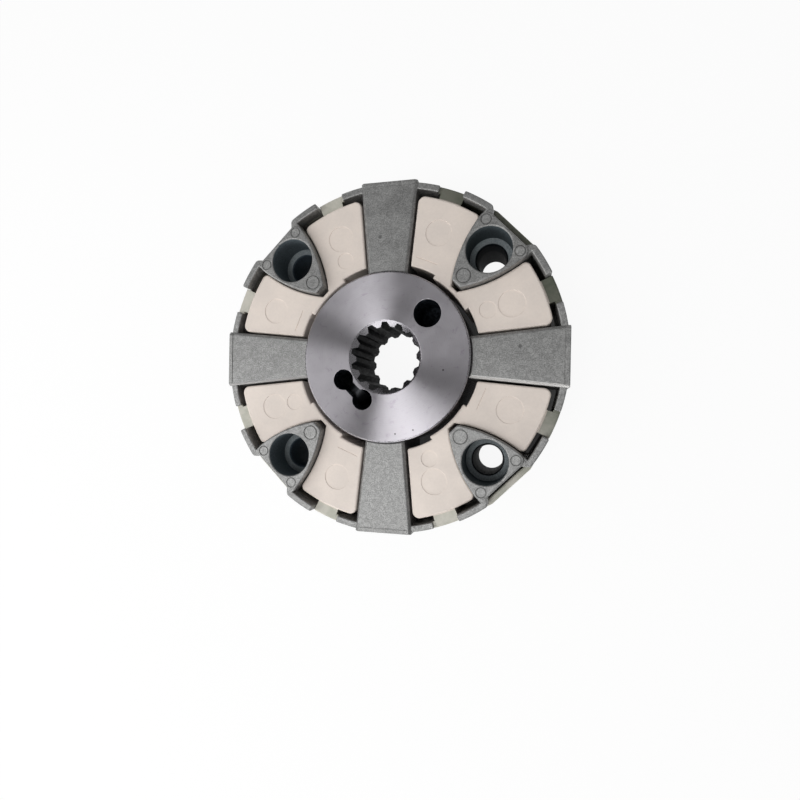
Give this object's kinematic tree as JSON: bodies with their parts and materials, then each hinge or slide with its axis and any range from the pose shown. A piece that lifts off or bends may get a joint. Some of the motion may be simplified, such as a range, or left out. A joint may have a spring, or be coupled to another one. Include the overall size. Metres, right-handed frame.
{
  "type": "flexible flywheel coupling",
  "caption": "Round flexible coupling that joins an engine flywheel to a splined pump shaft: a splined hub in a ring of cast inserts with elastic pads between them.",
  "frame": {"origin": "on the coupling's axis, in the plane of the flywheel face, at the centre of the box's bottom", "axes": "+Z along the axis from the flywheel to the pump, +X and +Y through the middle of the hub inserts 1 and 2, the flywheel inserts lying at 45 degrees between them"},
  "size_m": [0.155, 0.155, 0.042],
  "materials": {
    "hub_steel": "turned steel, bright",
    "cast_aluminium": "die-cast, matte grey",
    "elastomer": "moulded, cream, soft sheen",
    "screw_steel": "black oxide steel",
    "washer_steel": "zinc plated, dull"
  },
  "bodies": {
    "flywheel_side": {"axial_insert_1": "cast_aluminium", "axial_insert_2": "cast_aluminium", "axial_insert_3": "cast_aluminium", "axial_insert_4": "cast_aluminium", "element_1": "elastomer", "element_2": "elastomer", "element_3": "elastomer", "element_4": "elastomer"},
    "hub_side": {"hub": "hub_steel", "radial_insert_1": "cast_aluminium", "radial_insert_2": "cast_aluminium", "radial_insert_3": "cast_aluminium", "radial_insert_4": "cast_aluminium", "radial_screw_1": "screw_steel", "radial_screw_2": "screw_steel", "radial_screw_3": "screw_steel", "radial_screw_4": "screw_steel", "lock_washer_1": "washer_steel", "lock_washer_2": "washer_steel", "lock_washer_3": "washer_steel", "lock_washer_4": "washer_steel", "clamp_screw_1": "screw_steel", "clamp_screw_2": "screw_steel"}
  },
  "joints": [
    {"name": "twist", "type": "hinge", "parent": "flywheel_side", "child": "hub_side", "pos_m": [0, 0, 0.021], "axis": [0, 0, 1], "range_deg": [-0.6, 0.6]}
  ]
}
